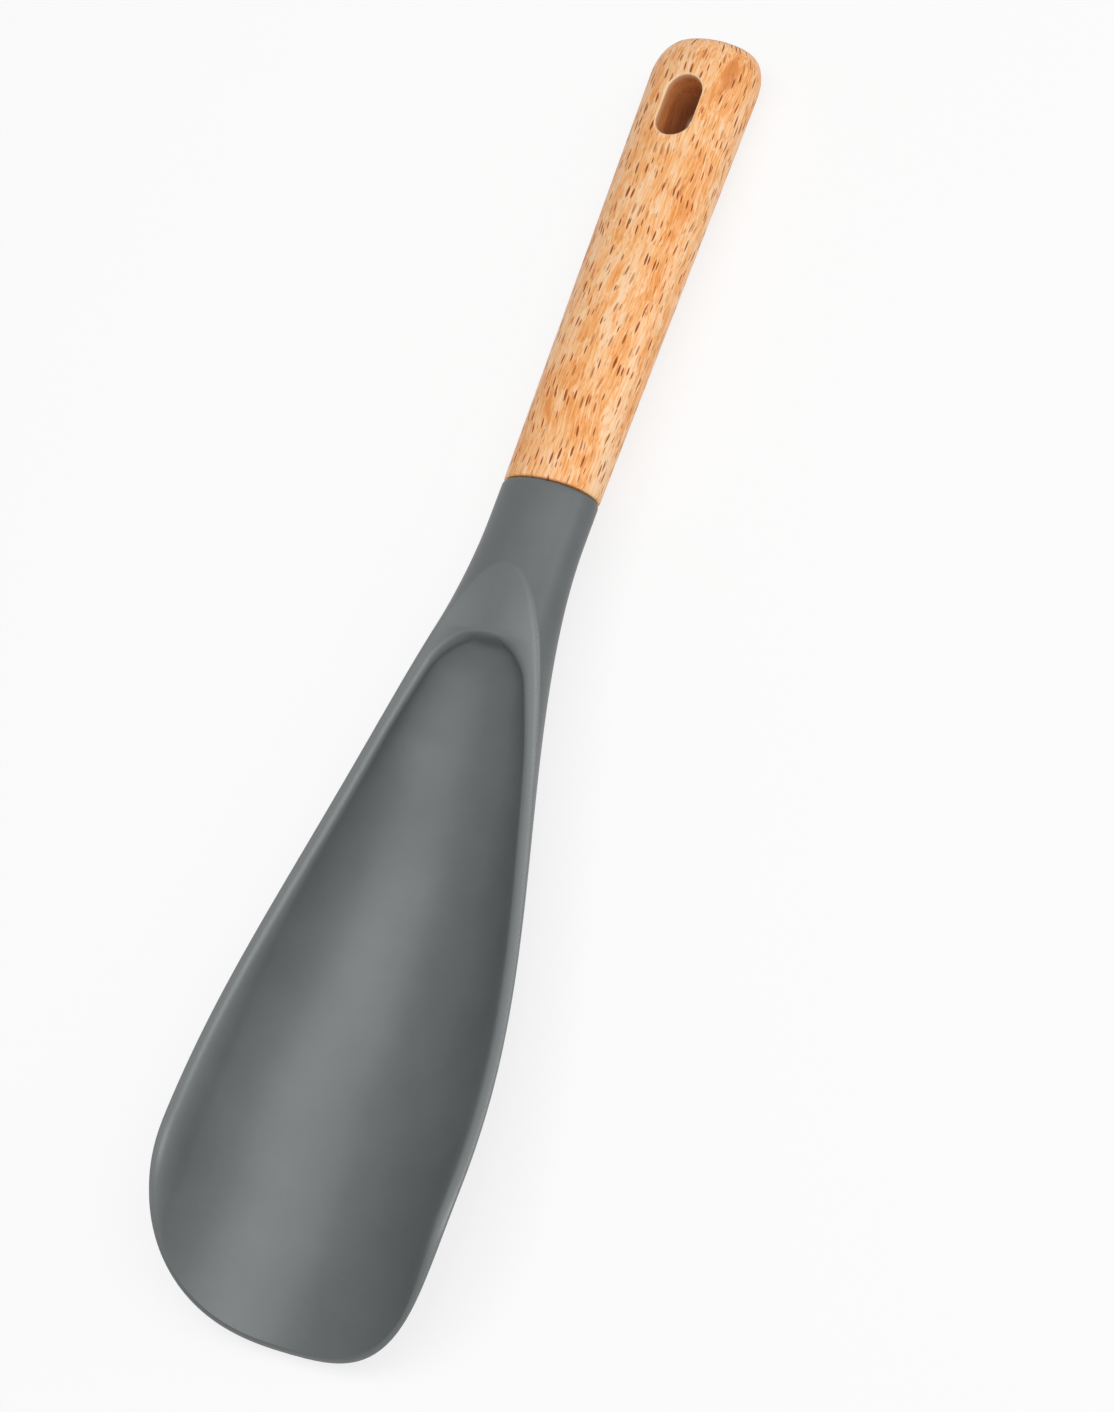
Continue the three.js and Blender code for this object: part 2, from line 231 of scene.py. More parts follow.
def rim_angle(reach):
    return math.asin(clamp((rim(reach) - middle(reach)) / drop(reach), -1, 1))


def rim_half_width(reach):
    return half_width(reach) * math.cos(rim_angle(reach))


def floor_thickness(reach):
    body = mix(NECK_FLOOR, BOWL_FLOOR, smooth(reach, ARCH_END, FLOOR_END))
    return body - (BOWL_FLOOR - TIP_FLOOR) * smooth(reach, THIN_START, HEAD_LENGTH)


def lip_share(reach):
    return smooth(reach, LIP_START - LIP_FADE, LIP_START)


def rim_width(reach):
    extra = ARCH_RIM * (1 - smooth(reach, CAVITY_START, CAVITY_START + ARCH_FADE))
    return mix(RIM_WIDTH + extra, LIP, lip_share(reach))


def arch(reach, length):
    return math.sqrt(1 - clamp(1 - (reach - CAVITY_START) / length, 0, 1) ** 2)


def opening(reach):
    """Half the width of the bowl's opening."""
    return (rim_half_width(reach) - rim_width(reach)) * arch(reach, ARCH_LENGTH)


def outer_curve(reach, tip):
    """The outer skin as a curve of the angle on its oval, and the angle at which it meets the rim."""
    a, b, m = half_width(reach), drop(reach), middle(reach)
    edge = rim_angle(reach)
    if tip < 1:
        edge = -math.acos(clamp(tip * rim_half_width(reach) / a, -1, 1))
    return lambda q: Vector((a * math.cos(q), -reach, m + b * math.sin(q))), edge


def inner_curve(reach, tip):
    """The inside of the bowl as a curve of the angle on its oval, and the angle at which it meets the rim."""
    top = min(rim(reach), crown(reach))
    if reach <= CAVITY_START:
        return lambda q: Vector((0, -reach, top)), 0
    half = opening(reach)
    depth = (top - keel(reach) - floor_thickness(reach)) * arch(reach, RAMP_LENGTH)
    depth *= smooth(reach, CAVITY_START, CAVITY_START + ARCH_EASE)
    centre = max(top, middle(reach))
    fall = centre - top + depth
    edge = math.asin((centre - top) / fall)
    wide = half / math.cos(edge)
    if tip < 1:
        edge = math.acos(clamp(tip * half / wide, -1, 1))
    return lambda q: Vector((wide * math.cos(q), -reach, centre - fall * math.sin(q))), edge


def eased(curve, edge, end, size):
    """The angle near the edge at which a curve is the given distance from its corner, or half way to its end."""
    step = NEAR_SHARE * (end - edge)
    speed = (curve(edge + step) - curve(edge)).length / abs(step) if step else 0
    reach = size / speed if speed > STILL else math.inf
    return edge + math.copysign(min(reach, abs(end - edge) / 2), end - edge)


def bend(start, corner, end, count):
    """Points on a curve that rounds a corner."""
    return [
        start * (1 - u) ** 2 + corner * 2 * u * (1 - u) + end * u * u
        for u in steps(0, 1, count)
    ]


def head_ring(outer_reach, inner_reach, tip):
    """A section of the head: its outer skin, rim and bowl, narrowed to a share of its width at the tip."""
    outer, outer_edge = outer_curve(outer_reach, tip)
    inner, inner_edge = inner_curve(inner_reach, tip)
    rim_out, rim_in = outer(outer_edge), inner(inner_edge)
    land = (rim_in - rim_out).length
    # The inner edge is rounded square to the rim, which runs at a slant to the section beside the arch
    slant = (opening(inner_reach + NEAR) - opening(inner_reach)) / NEAR if inner_reach < ARCH_END else 0
    inner_round = min(RIM_INNER_EDGE * math.hypot(1, slant), WIDEST_ROUND)
    fit = min(land / (RIM_OUTER_EDGE + inner_round), 1)
    outer_end = eased(outer, outer_edge, -QUARTER, RIM_OUTER_EDGE * fit)
    wall_ease = WALL_EASE * smooth(inner_reach, WALL_EASE_START, WALL_EASE_END)
    wall_round = inner_round + wall_ease * (1 - lip_share(inner_reach))
    inner_start = eased(inner, inner_edge, QUARTER, wall_round * fit)
    land_start = rim_out.lerp(rim_in, RIM_OUTER_EDGE * fit / land if land else 0)
    land_end = rim_in.lerp(rim_out, inner_round * fit / land if land else 0)
    half = [outer(q) for q in steps(-QUARTER, outer_end, OUTER_POINTS)]
    half += bend(half[-1], rim_out, land_start, OUTER_BEND)[1:]
    half += bend(land_end, rim_in, inner(inner_start), INNER_BEND)
    half += [inner(q) for q in steps(inner_start, QUARTER, INNER_POINTS)[1:]]
    return half + [Vector((-p.x, p.y, p.z)) for p in reversed(half[1:-1])]


def rim_highlight_shares(reach):
    """How much painted highlight each point of a section takes: its rim's edges beside the neck's flat, and the whole
    rim of the bowl.
    """
    edge = smooth(reach, FACET_START, CAVITY_START)
    land = LAND_HIGHLIGHT * smooth(reach, CAVITY_START, ARCH_END)
    fading = [land * (1 - u) ** 2 for u in steps(0, 1, INNER_BEND)]
    half = [0.0] * (OUTER_POINTS + 1) + [edge] * OUTER_BEND + fading + [0.0] * INNER_POINTS
    return half + half[-2:0:-1]


def head_rings():
    start = head_ring(0, 0, 1)

    def passage(radius, y):
        ring = []
        for p in start:
            q = math.atan2(p.z / JOINT_B, p.x / JOINT_A)
            ring.append(Vector((radius * math.cos(q), y, radius * math.sin(q))))
        return ring

    rings = [passage(0, -PASSAGE_DEPTH), passage(PASSAGE_R, -PASSAGE_DEPTH), passage(PASSAGE_R, 0)]
    for q in steps(0, QUARTER, COLLAR_RINGS):
        reach = COLLAR_ROUND * (1 - math.cos(q))
        share = 1 - COLLAR_ROUND / JOINT_A * (1 - math.sin(q))
        rings.append([Vector((p.x * share, p.y, p.z * share)) for p in head_ring(reach, reach, 1)])
    reaches = steps(COLLAR_ROUND, FACET_START, NECK_RINGS)[1:]
    reaches += [mix(FACET_START, CAVITY_START, u * u) for u in steps(0, 1, FACET_RINGS)[1:]]
    reaches += [mix(CAVITY_START, ARCH_END, 1 - math.cos(q)) for q in steps(0, QUARTER, ARCH_RINGS)[1:]]
    reaches += steps(ARCH_END, TIP_START, BOWL_RINGS)[1:]
    rings += [head_ring(reach, reach, 1) for reach in reaches]
    for q in steps(0, QUARTER, TIP_RINGS)[1:]:
        along = math.sin(q) ** (2 / TIP_POWER_ALONG)
        across = abs(math.cos(q)) ** (2 / TIP_POWER_ACROSS)
        outer_reach = mix(TIP_START, HEAD_LENGTH, along)
        inner_reach = mix(TIP_START, HEAD_LENGTH - LIP, along)
        rings.append(head_ring(outer_reach, inner_reach, across))
    return rings


def make_head():
    rings = head_rings()
    points = [p for ring in rings for p in ring]
    # Each point's share of painted highlight on the rim
    highlight_share = [share for ring in rings for share in rim_highlight_shares(-ring[0].y)]
    return mesh_piece("spoon_head", points, tube_faces(len(rings), len(rings[0])), highlight_share=highlight_share)


# Handle

SIDES = 96
SIDE_ANGLES = [2 * math.pi * i / SIDES for i in range(SIDES)]
# The part of the grid of rings and sides that makes way for the slot
WINDOW_SIDES = (14, 34)
WINDOW_HALF = 10.0
# Rings along the handle, and loops round the slot
EDGE_RINGS = 6
GRIP_RINGS = 24
WINDOW_RINGS = 20
BUTT_RINGS = 16
CAP_SHARES = (0.66, 0.33, 0)
PATCH_LOOPS = 8
EASED_LOOPS = 5
WALL_LOOPS = 10


def handle_half_axes(y):
    share = y / HANDLE_LENGTH
    return mix(JOINT_A, BUTT_A, share), mix(JOINT_B, BUTT_B, share)


def handle_face(x, y):
    """The height of the wood above the handle's axis."""
    a, b = handle_half_axes(y)
    return b * math.sqrt(1 - (x / a) ** 2)


def handle_ring(y, inset_side=0.0, inset_face=0.0):
    a, b = handle_half_axes(y)
    return [Vector(((a - inset_side) * math.cos(q), y, (b - inset_face) * math.sin(q))) for q in SIDE_ANGLES]


def circle_ring(radius, y):
    return [Vector((radius * math.cos(q), y, radius * math.sin(q))) for q in SIDE_ANGLES]


def make_handle():
    rings = [circle_ring(0, BORE_DEPTH + DRILL_POINT), circle_ring(BORE_R, BORE_DEPTH), circle_ring(BORE_R, SEAM)]
    for q in steps(0, QUARTER, EDGE_RINGS):
        inset = WOOD_EDGE * (1 - math.sin(q))
        rings.append(handle_ring(SEAM + WOOD_EDGE * (1 - math.cos(q)), inset, inset))
    rings += [handle_ring(y) for y in steps(SEAM + WOOD_EDGE, SLOT_Y - WINDOW_HALF, GRIP_RINGS)[1:]]
    window_start = len(rings) - 1
    rings += [handle_ring(y) for y in steps(SLOT_Y - WINDOW_HALF, SLOT_Y + WINDOW_HALF, WINDOW_RINGS)[1:]]
    window_end = len(rings) - 1
    round_start = HANDLE_LENGTH - BUTT_ROUND_LENGTH
    for q in steps(0, QUARTER, BUTT_RINGS):
        inset = 1 - math.cos(q)
        y = round_start + BUTT_ROUND_LENGTH * math.sin(q)
        rings.append(handle_ring(y, BUTT_ROUND_SIDE * inset, BUTT_ROUND_FACE * inset))
    cap = rings[-1]
    for share in CAP_SHARES:
        rings.append([Vector((p.x * share, p.y, p.z * share)) for p in cap])
    points = [p for ring in rings for p in ring]
    low, high = WINDOW_SIDES
    back = (low + SIDES // 2, high + SIDES // 2)
    faces = []
    for k, face in enumerate(tube_faces(len(rings), SIDES)):
        r, i = divmod(k, SIDES)
        front_hole = low <= i < high
        back_hole = back[0] <= i < back[1]
        if not (window_start <= r < window_end and (front_hole or back_hole)):
            faces.append(face)

    def window_loop(first, last):
        """The numbers of the grid points round a window, in order."""
        loop = [(window_start, i) for i in range(first, last)]
        loop += [(r, last) for r in range(window_start, window_end)]
        loop += [(window_end, i) for i in range(last, first, -1)]
        loop += [(r, first) for r in range(window_end, window_start, -1)]
        return [r * SIDES + i for r, i in loop]

    def outline(index, offset):
        """The point of the slot's outline, moved out by an offset, that faces a window point."""
        p = points[index]
        spine = Vector((0, clamp(p.y, SLOT_Y - SLOT_HALF, SLOT_Y + SLOT_HALF)))
        return spine + (Vector((p.x, p.y)) - spine).normalized() * (SLOT_R + offset)

    def add_loop(loop):
        """Adds points, and gives their numbers."""
        first = len(points)
        points.extend(loop)
        return list(range(first, len(points)))

    def join(a, b):
        for i in range(len(a)):
            k = (i + 1) % len(a)
            faces.append((a[i], a[k], b[k], b[i]))

    # On each side: a patch on the wood from the window in to the slot, then the slot's eased edge
    mouths = []
    # The points of the slot's eased edge, which take a painted highlight
    highlighted_points = set()
    front_loop = window_loop(low, high)
    back_loop = window_loop(*back)
    # The back's points in the order of the front's, each one opposite its partner
    back_loop = [
        min(back_loop, key=lambda j: (points[j].x - points[i].x) ** 2 + (points[j].y - points[i].y) ** 2)
        for i in front_loop
    ]
    for loop, side in ((front_loop, 1), (back_loop, -1)):
        previous = loop
        for u in steps(0, 1, PATCH_LOOPS)[1:]:
            flat = [Vector((points[i].x, points[i].y)).lerp(outline(i, SLOT_EDGE), u) for i in loop]
            current = add_loop([Vector((p.x, p.y, side * handle_face(p.x, p.y))) for p in flat])
            join(previous, current)
            previous = current
        for q in steps(0, QUARTER, EASED_LOOPS)[1:]:
            flat = [outline(i, SLOT_EDGE * (1 - math.sin(q))) for i in loop]
            fall = SLOT_EDGE * (1 - math.cos(q))
            current = add_loop([Vector((p.x, p.y, side * (handle_face(p.x, p.y) - fall))) for p in flat])
            highlighted_points.update(current)
            join(previous, current)
            previous = current
        mouths.append(previous)
    wall_start = len(faces)
    previous = mouths[0]
    for u in steps(0, 1, WALL_LOOPS)[1:-1]:
        current = add_loop([points[a].lerp(points[b], u) for a, b in zip(*mouths)])
        join(previous, current)
        previous = current
    join(previous, mouths[1])
    material_of_face = [1 if k >= wall_start else 0 for k in range(len(faces))]
    highlight_share = [float(i in highlighted_points) for i in range(len(points))]
    return mesh_piece("spoon_handle", points, faces, material_of_face, highlight_share)


head = make_head()
handle = make_handle()
for piece, node, slot in ((head, "silicone_head", "silicone"), (handle, "beech_handle", "beech")):
    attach(piece, "root")
    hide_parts(node)


# Materials

def srgb(r, g, b):
    """A colour given in display values from 0 to 255, in the linear values that shaders take."""
    def linear(value):
        c = value / 255
        return c / 12.92 if c <= 0.04045 else ((c + 0.055) / 1.055) ** 2.4
    return (linear(r), linear(g), linear(b), 1.0)


class Graph:
    """The node tree of a material or of the world, with short calls for the nodes used here."""

    def __init__(self, owner):
        self.owner = owner
        self.owner.use_nodes = True
        self.tree = self.owner.node_tree
        self.shader = self.tree.nodes.get("Principled BSDF")

    def node(self, kind, inputs=None, **settings):
        made = self.tree.nodes.new(kind)
        for key, value in settings.items():
            setattr(made, key, value)
        for key, value in (inputs or {}).items():
            self.feed(made.inputs[key], value)
        return made

    def feed(self, socket, value):
        if isinstance(value, bpy.types.NodeSocket):
            self.tree.links.new(value, socket)
        else:
            socket.default_value = value

    def millimetres(self):
        """Coordinates in millimetres on the spoon's own axes."""
        place = self.node("ShaderNodeTexCoord").outputs["Object"]
        return self.node("ShaderNodeMapping", {
            "Vector": place, "Scale": (PER_METRE, PER_METRE, PER_METRE), "Rotation": (-turn, 0, 0),
            "Location": lay.inverted().translation,
        }).outputs["Vector"]

    def stretch(self, vector, x, y, z):
        made = self.node("ShaderNodeVectorMath", {0: vector, 1: (x, y, z)}, operation="MULTIPLY")
        return made.outputs["Vector"]

    def noise(self, vector, scale, detail=3.0, roughness=0.5, distortion=0.0):
        made = self.node("ShaderNodeTexNoise", {
            "Vector": vector, "Scale": scale, "Detail": detail, "Roughness": roughness, "Distortion": distortion,
        })
        return made.outputs["Fac"]

    def warp(self, vector, scale, amount):
        """The coordinates, moved by up to half an amount either way on each axis."""
        cloud = self.node("ShaderNodeTexNoise", {"Vector": self.stretch(vector, *scale), "Scale": 1.0, "Detail": 2.0})
        offset = self.node("ShaderNodeVectorMath", {
            0: cloud.outputs["Color"], 1: (0.5, 0.5, 0.5),
        }, operation="SUBTRACT").outputs["Vector"]
        moved = self.stretch(offset, *amount)
        return self.node("ShaderNodeVectorMath", {0: vector, 1: moved}, operation="ADD").outputs["Vector"]

    def cells(self, vector, size, dimensions="3D"):
        """A pattern of cells of about a size in millimetres."""
        scaled = self.stretch(vector, *(1 / length for length in size))
        made = self.node("ShaderNodeTexVoronoi", {"Vector": scaled, "Scale": 1.0}, voronoi_dimensions=dimensions)
        return made.outputs

    def skin(self, vector):
        """Coordinates in millimetres on the handle's skin: round it from the middle of its face, and along it."""
        rounded = self.stretch(vector, 1 / BUTT_A, 1, 1 / BUTT_B)
        oval = self.node("ShaderNodeSeparateXYZ", {"Vector": rounded}).outputs
        turned = self.math("MULTIPLY", self.math("ARCTAN2", oval["X"], oval["Z"]), JOINT_A)
        return self.node("ShaderNodeCombineXYZ", {"X": turned, "Y": oval["Y"]}).outputs["Vector"]

    def spots(self, vector, size, small, large):
        """One spot to each cell of a flat pattern, fading between two distances, and a chance value for each."""
        pattern = self.cells(vector, (*size, 1.0), "2D")
        chance = self.node("ShaderNodeSeparateColor", {"Color": pattern["Color"]}).outputs
        distance = self.math("DIVIDE", pattern["Distance"], self.span(chance["Red"], 0.0, 1.0, 0.6, 1.2))
        return self.span(distance, small, large, 1.0, 0.0), chance["Green"]

    def math(self, operation, a, b=0.0):
        return self.node("ShaderNodeMath", {0: a, 1: b}, operation=operation).outputs[0]

    def span(self, value, low, high, to_low=0.0, to_high=1.0):
        made = self.node("ShaderNodeMapRange", {
            "Value": value, "From Min": low, "From Max": high, "To Min": to_low, "To Max": to_high,
        }, interpolation_type="SMOOTHSTEP")
        return made.outputs["Result"]

    def blend(self, factor, a, b, kind="MIX"):
        made = self.node("ShaderNodeMix", data_type="RGBA", blend_type=kind)
        self.feed(made.inputs[0], factor)
        self.feed(made.inputs[6], a)
        self.feed(made.inputs[7], b)
        return made.outputs[2]

    def ramp(self, factor, stops):
        made = self.node("ShaderNodeValToRGB", {"Fac": factor})
        elements = made.color_ramp.elements
        while len(elements) < len(stops):
            elements.new(0.5)
        for element, (position, colour) in zip(elements, stops):
            element.position = position
            element.color = colour
        return made.outputs["Color"]

    def bump(self, height, strength, distance):
        made = self.node("ShaderNodeBump", {"Height": height, "Strength": strength, "Distance": distance})
        self.feed(self.shader.inputs["Normal"], made.outputs["Normal"])

    def length(self, vector):
        return self.node("ShaderNodeVectorMath", {0: vector}, operation="LENGTH").outputs["Value"]

    def highlight_share(self):
        """How much painted highlight the mesh says each point takes, from 0 to 1."""
        return self.node("ShaderNodeAttribute", attribute_name="highlight_share").outputs["Fac"]

    def seen(self):
        """1 where the camera sees this, straight, mirrored or through glass, and 0 where it only gives light."""
        rays = self.node("ShaderNodeLightPath").outputs
        direct = self.math("MAXIMUM", rays["Is Camera Ray"], rays["Is Glossy Ray"])
        return self.math("MAXIMUM", direct, rays["Is Transmission Ray"])

    def set(self, **values):
        for name, value in values.items():
            self.feed(self.shader.inputs[name.replace("_", " ")], value)


# Wood: lengths in millimetres, scales in waves to the millimetre, weights and shares from 0 to 1
WANDER_SCALE = (0.06, 0.035, 0.06)
WANDER = (5.0, 0.0, 5.0)
RAGGED_SCALE = (0.9, 0.22, 0.9)
RAGGED = (1.3, 4.5, 1.3)
PATCH_SIZE = (2.0, 7.0, 2.0)
BAND_SCALE = (0.16, 0.02, 0.16)
FIBRE_SCALE = (3.0, 0.18, 3.0)
PATCH_WEIGHT = 0.13
BAND_WEIGHT = 0.45
FIBRE_WEIGHT = 0.85
DEEP_TONE, MID_TONE, PALE_TONE = 0.55, 0.7, 0.85
STREAK_AT = (8.7, 109.8, 6.5)
STREAK_SIZE = (2.0, 6.0, 4.0)
FLECK_CELL = (1.32, 8.6)
FLECK_EDGE = (0.12, 0.2)
FAINT_CELL = (1.0, 4.6)
FAINT_EDGE = (0.09, 0.17)
END_GRAIN_FACING = (0.6, 0.8)
END_GRAIN_SHARE = 0.7
EDGE_HIGHLIGHT_SHARE = 0.6
FIBRE_DULLNESS = 0.12
PORE_DULLNESS = 0.4
WOOD_RELIEF = 0.35
STREAK_BROWN = srgb(214, 128, 62)
FLECK_BROWN = srgb(144, 58, 0)
END_GRAIN_BROWN = srgb(160, 92, 50)
# The colour of the painted shade deep in the slot
SLOT_PAINTED_SHADE = srgb(126, 64, 22)
# The colour of the painted highlight on the slot's eased edge
WOOD_PAINTED_HIGHLIGHT = srgb(255, 222, 184)


def beech(name, pale, mid, deep, fleck_share, roughness, gloss, painted_shade):
    g = Graph(bpy.data.materials.new(name))
    mm = g.millimetres()
    # The grain wanders a little to either side along its length, and its edges are ragged
    grain = g.warp(mm, WANDER_SCALE, WANDER)
    ragged = g.warp(grain, RAGGED_SCALE, RAGGED)
    # Patches that catch the light differently, broad bands of colour, and fine fibres
    patches = g.cells(ragged, PATCH_SIZE)
    patch_tone = g.node("ShaderNodeSeparateColor", {"Color": patches["Color"]}).outputs["Red"]
    bands = g.noise(g.stretch(grain, *BAND_SCALE), 1.0, 2.0, 0.5, 0.4)
    fibres = g.noise(g.stretch(grain, *FIBRE_SCALE), 1.0, 3.0, 0.6)
    tone = g.math("ADD", g.math("MULTIPLY", bands, BAND_WEIGHT), g.math("MULTIPLY", patch_tone, PATCH_WEIGHT))
    tone = g.math("ADD", tone, g.math("MULTIPLY", fibres, FIBRE_WEIGHT))
    colour = g.ramp(tone, [(DEEP_TONE, deep), (MID_TONE, mid), (PALE_TONE, pale)])
    # One deeper streak beside the slot, near the butt
    apart = g.node("ShaderNodeVectorMath", {0: ragged, 1: STREAK_AT}, operation="SUBTRACT").outputs["Vector"]
    distance = g.length(g.stretch(apart, *(1 / size for size in STREAK_SIZE)))
    streak = g.math("MULTIPLY", g.span(distance, 0.5, 1.0, 1.0, 0.0), g.span(fibres, 0.4, 0.6, 0.4, 1.0))
    colour = g.blend(streak, colour, STREAK_BROWN)
    # Short dark flecks along the grain, and smaller and fainter ones between them
    skin = g.skin(grain)
    flecks, strength = g.spots(skin, FLECK_CELL, *FLECK_EDGE)
    flecks = g.math("MULTIPLY", flecks, g.span(strength, 0.0, 0.6, 0.5, 1.0))
    faint, strength = g.spots(skin, FAINT_CELL, *FAINT_EDGE)
    faint = g.math("MULTIPLY", faint, g.span(strength, 0.2, 1.0, 0.1, 0.5))
    flecks = g.math("MAXIMUM", flecks, faint)
    # The slot's edge takes a painted highlight and is kept clear of flecks, and the end grain at the butt cuts across
    # them
    highlight_share = g.highlight_share()
    flecks = g.math("MULTIPLY", flecks, g.math("SUBTRACT", 1.0, highlight_share))
    facing = g.node("ShaderNodeVectorMath", {
        0: g.node("ShaderNodeTexCoord").outputs["Normal"], 1: handle_axis,
    }, operation="DOT_PRODUCT").outputs["Value"]
    end_grain = g.span(facing, *END_GRAIN_FACING)
    flecks = g.math("MULTIPLY", flecks, g.math("SUBTRACT", 1.0, end_grain))
    colour = g.blend(g.math("MULTIPLY", flecks, fleck_share), colour, FLECK_BROWN)
    # End grain takes the lacquer darker, the slot's walls get painted shade that deepens toward the back, and its
    # edge gets a pale painted highlight
    colour = g.blend(g.math("MULTIPLY", end_grain, END_GRAIN_SHARE), colour, END_GRAIN_BROWN)
    height = g.node("ShaderNodeSeparateXYZ", {"Vector": mm}).outputs["Z"]
    # Painted shade: the slot's walls are painted darker the further back they lie
    colour = g.blend(g.span(height, -BUTT_B, BUTT_B, painted_shade, 0.0), colour, SLOT_PAINTED_SHADE)
    # Painted highlight: the slot's eased edge is painted paler
    g.set(Base_Color=g.blend(g.math("MULTIPLY", highlight_share, EDGE_HIGHLIGHT_SHARE), colour, WOOD_PAINTED_HIGHLIGHT))
    # The flecks are open pores, duller than the lacquered wood round them
    dullness = g.span(fibres, 0.3, 0.7, roughness, roughness + FIBRE_DULLNESS)
    dullness = g.math("ADD", dullness, g.math("MULTIPLY", flecks, PORE_DULLNESS))
    g.set(Roughness=dullness, Specular_IOR_Level=gloss)
    g.bump(g.math("MULTIPLY", g.math("SUBTRACT", fibres, flecks), WOOD_RELIEF), 0.12, 0.0001)
    return g.owner


SILICONE_DARK = srgb(89, 93, 94)
SILICONE_PALE = srgb(99, 103, 104)
# The colour of the painted highlight on the rim's edges and land
SILICONE_PAINTED_HIGHLIGHT = srgb(116, 120, 121)
SILICONE_ROUGHNESS = (0.38, 0.46)
RIM_SMOOTHER = 0.12


def silicone(name):
    g = Graph(bpy.data.materials.new(name))
    mm = g.millimetres()
    cloud = g.noise(mm, 0.06, 3.0, 0.55)
    speck = g.noise(mm, 2.2, 2.0, 0.6)
    tone = g.math("ADD", g.math("MULTIPLY", cloud, 0.7), g.math("MULTIPLY", speck, 0.3))
    colour = g.ramp(tone, [(0.3, SILICONE_DARK), (0.7, SILICONE_PALE)])
    # The rim's edges and land get a painted highlight, a little paler than the rest, and are a little smoother
    highlight_share = g.highlight_share()
    g.set(Base_Color=g.blend(highlight_share, colour, SILICONE_PAINTED_HIGHLIGHT))
    roughness = g.span(speck, 0.3, 0.7, *SILICONE_ROUGHNESS)
    roughness = g.math("SUBTRACT", roughness, g.math("MULTIPLY", highlight_share, RIM_SMOOTHER))
    g.set(Roughness=roughness, Specular_IOR_Level=0.5)
    g.bump(g.noise(mm, 5.0, 2.0, 0.6), 0.12, 0.00004)
    return g.owner


def moulded(name, light, dark, roughness):
    g = Graph(bpy.data.materials.new(name))
    mm = g.millimetres()
    g.set(Base_Color=g.ramp(g.noise(mm, 0.4, 3.0), [(0.35, dark), (0.65, light)]), Roughness=roughness)
    g.bump(g.noise(mm, 3.0, 2.0), 0.1, 0.00005)
    return g.owner


handle.data.materials.append(beech(
    "beech", pale=srgb(255, 216, 174), mid=srgb(253, 187, 122), deep=srgb(236, 150, 74),
    fleck_share=0.95, roughness=0.3, gloss=0.35, painted_shade=0.0,
))
# The slot's walls: their deeper tones are partly the end grain's own colour and partly painted shade in the slot's
# recess
handle.data.materials.append(beech(
    "beech_slot", pale=srgb(240, 164, 100), mid=srgb(226, 144, 80), deep=srgb(196, 114, 56),
    fleck_share=0.0, roughness=0.75, gloss=0.3, painted_shade=0.9,
))
head.data.materials.append(silicone("silicone"))
inner_looks = {
    "nylon_core": moulded("nylon", light=srgb(236, 230, 216), dark=srgb(222, 216, 200), roughness=0.5),
    "epoxy_bond": moulded("epoxy", light=srgb(222, 200, 140), dark=srgb(206, 182, 118), roughness=0.25),
}
for node, material in inner_looks.items():
    node_mesh = frame["nodes"][node].data
    node_mesh.materials.clear()
    node_mesh.materials.append(material)


# Camera, at the photograph's viewing angle: turned about the spoon's axes and set off from its joint
PHOTO_HEIGHT = 1412
FOCAL_PX = 4200.0
SENSOR_HEIGHT = 36.0
EYE_DISTANCE = 959.13
JOINT_OFF = (-6.07, 211.73)
YAW = math.radians(27.222)
PITCH = math.radians(17.586)
ROLL = math.radians(20.201)
look = Matrix.Rotation(-ROLL, 3, "Z") @ Matrix.Rotation(-PITCH, 3, "X") @ Matrix.Rotation(-YAW, 3, "Y")
joint_in_view = Vector((JOINT_OFF[0], JOINT_OFF[1], 0)) * (EYE_DISTANCE / FOCAL_PX)
eye = look.transposed() @ (Vector((0, 0, EYE_DISTANCE)) - joint_in_view)
camera_data = bpy.data.cameras.new("camera")
camera_data.sensor_fit = "VERTICAL"
camera_data.sensor_height = SENSOR_HEIGHT
camera_data.lens = FOCAL_PX * SENSOR_HEIGHT / PHOTO_HEIGHT
camera = bpy.data.objects.new("camera", camera_data)
camera.matrix_world = Matrix.Translation(lay @ eye) @ upright @ look.transposed().to_4x4()
bpy.context.scene.collection.objects.link(camera)
bpy.context.scene.camera = camera


# Floor and light, in metres and watts
LAMP_AIM = Vector((0, -0.03, 0.01))
LAMP_DISTANCE = 1.2
WORLD_LIGHT = 0.22
BACKDROP_WHITE = 1.0
FLOOR_HALF = 3.0
FLOOR_DROP = 0.0003
FLOOR_WHITE = (0.95, 0.95, 0.95, 1)
# The share of the floor's white that is its own light, near the spoon and far from it
GLOW_NEAR, GLOW_FAR = 0.8, 1.0
NEAR_END, FAR_START = 0.4, 2.0


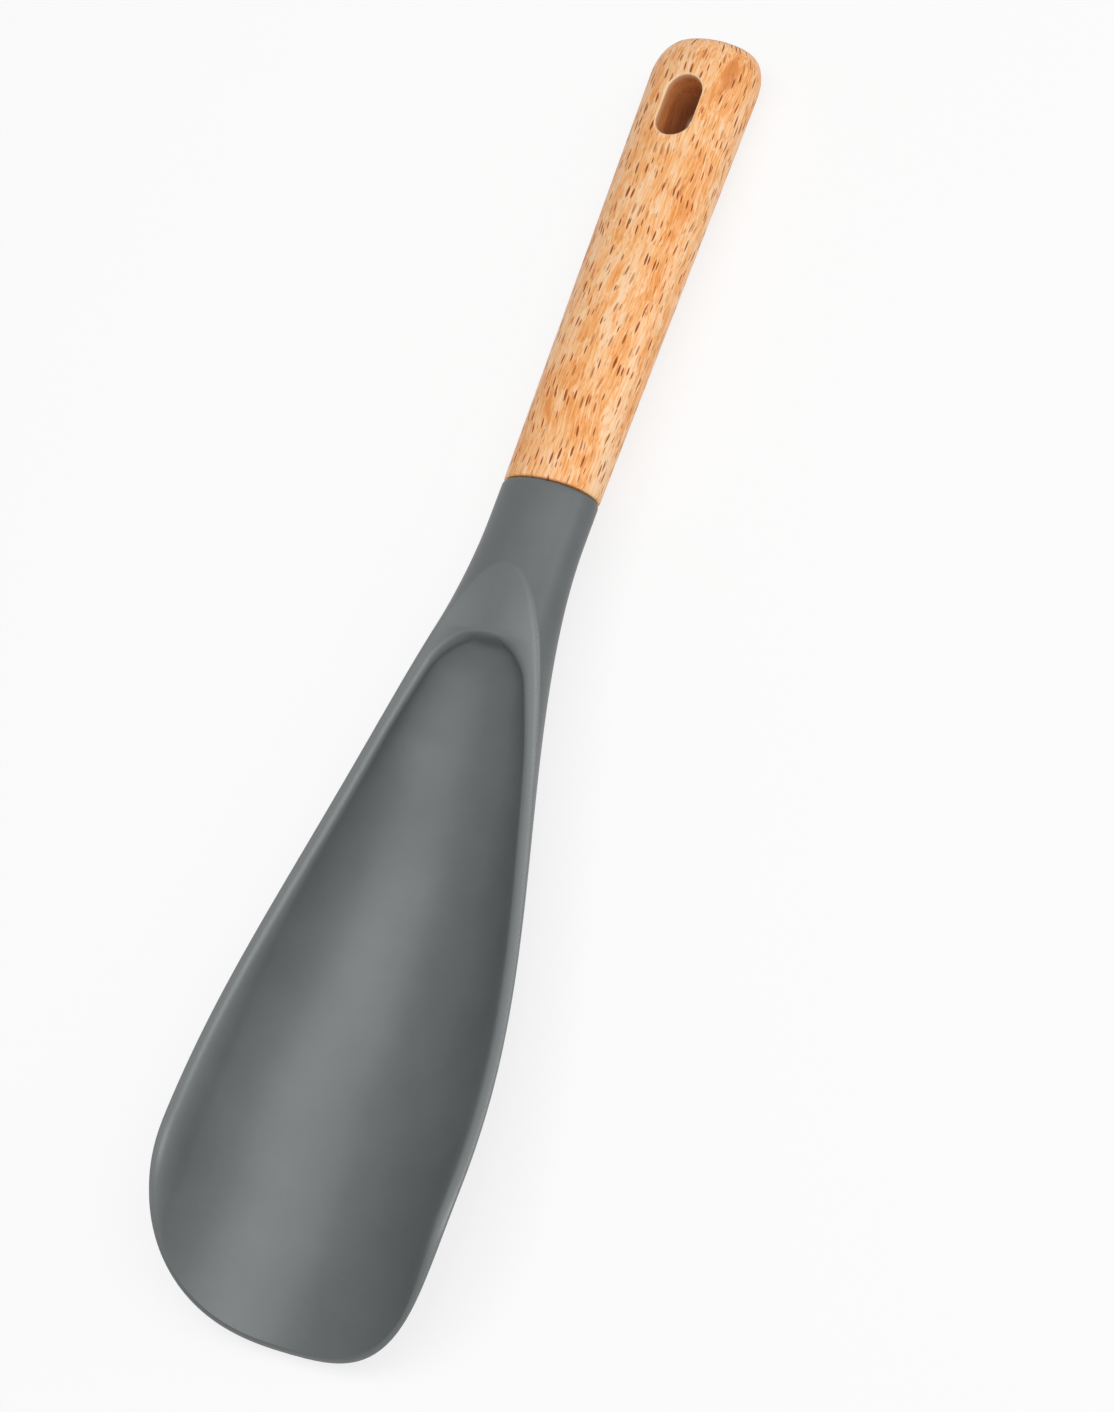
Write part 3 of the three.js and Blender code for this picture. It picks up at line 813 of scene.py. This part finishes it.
def soft_light(name, toward, across, along, power):
    """A soft box, aimed at the middle of the spoon from a direction in the frame, its long way beside the spoon's."""
    data = bpy.data.lights.new(name, "AREA")
    data.shape = "RECTANGLE"
    data.size, data.size_y, data.energy = across, along, power
    lamp = bpy.data.objects.new(name, data)
    direction = Vector(toward).normalized()
    side = Vector((0, 1, 0)).cross(direction).normalized()
    facing = Matrix((side, direction.cross(side), direction)).transposed().to_4x4()
    lamp.matrix_world = Matrix.Translation(LAMP_AIM + direction * LAMP_DISTANCE) @ facing
    bpy.context.scene.collection.objects.link(lamp)


soft_light("strip", toward=(0.5, 0.1, 0.86), across=0.6, along=0.6, power=4.5)
soft_light("overhead", toward=(0.0, 0.0, 1.0), across=0.9, along=0.6, power=6.0)
soft_light("side", toward=(0.78, 0.45, 0.4), across=0.3, along=0.6, power=1.6)

studio = Graph(bpy.data.worlds.new("studio"))
bpy.context.scene.world = studio.owner
backdrop = studio.tree.nodes["Background"].inputs
studio.feed(backdrop["Color"], (1, 1, 1, 1))
studio.feed(backdrop["Strength"], studio.span(studio.seen(), 0.0, 1.0, WORLD_LIGHT, BACKDROP_WHITE))

corners = [(x * FLOOR_HALF, y * FLOOR_HALF, -FLOOR_DROP) for x, y in ((-1, -1), (1, -1), (1, 1), (-1, 1))]
floor_mesh = bpy.data.meshes.new("floor")
floor_mesh.from_pydata(corners, [], [(0, 1, 2, 3)])
floor = bpy.data.objects.new("floor", floor_mesh)
bpy.context.scene.collection.objects.link(floor)
paper = Graph(bpy.data.materials.new("paper"))
paper.set(Base_Color=FLOOR_WHITE, Roughness=0.9, Specular_IOR_Level=0.1)
away = paper.length(paper.node("ShaderNodeTexCoord").outputs["Object"])
share = paper.math("MULTIPLY", paper.seen(), paper.span(away, NEAR_END, FAR_START, GLOW_NEAR, GLOW_FAR))
glow = paper.node("ShaderNodeEmission", {"Color": (1, 1, 1, 1), "Strength": 1.0}).outputs[0]
surface = paper.node("ShaderNodeMixShader", {0: share, 1: paper.shader.outputs[0], 2: glow}).outputs[0]
paper.feed(paper.tree.nodes["Material Output"].inputs["Surface"], surface)
floor_mesh.materials.append(paper.owner)

bpy.context.scene.view_settings.view_transform = "Standard"
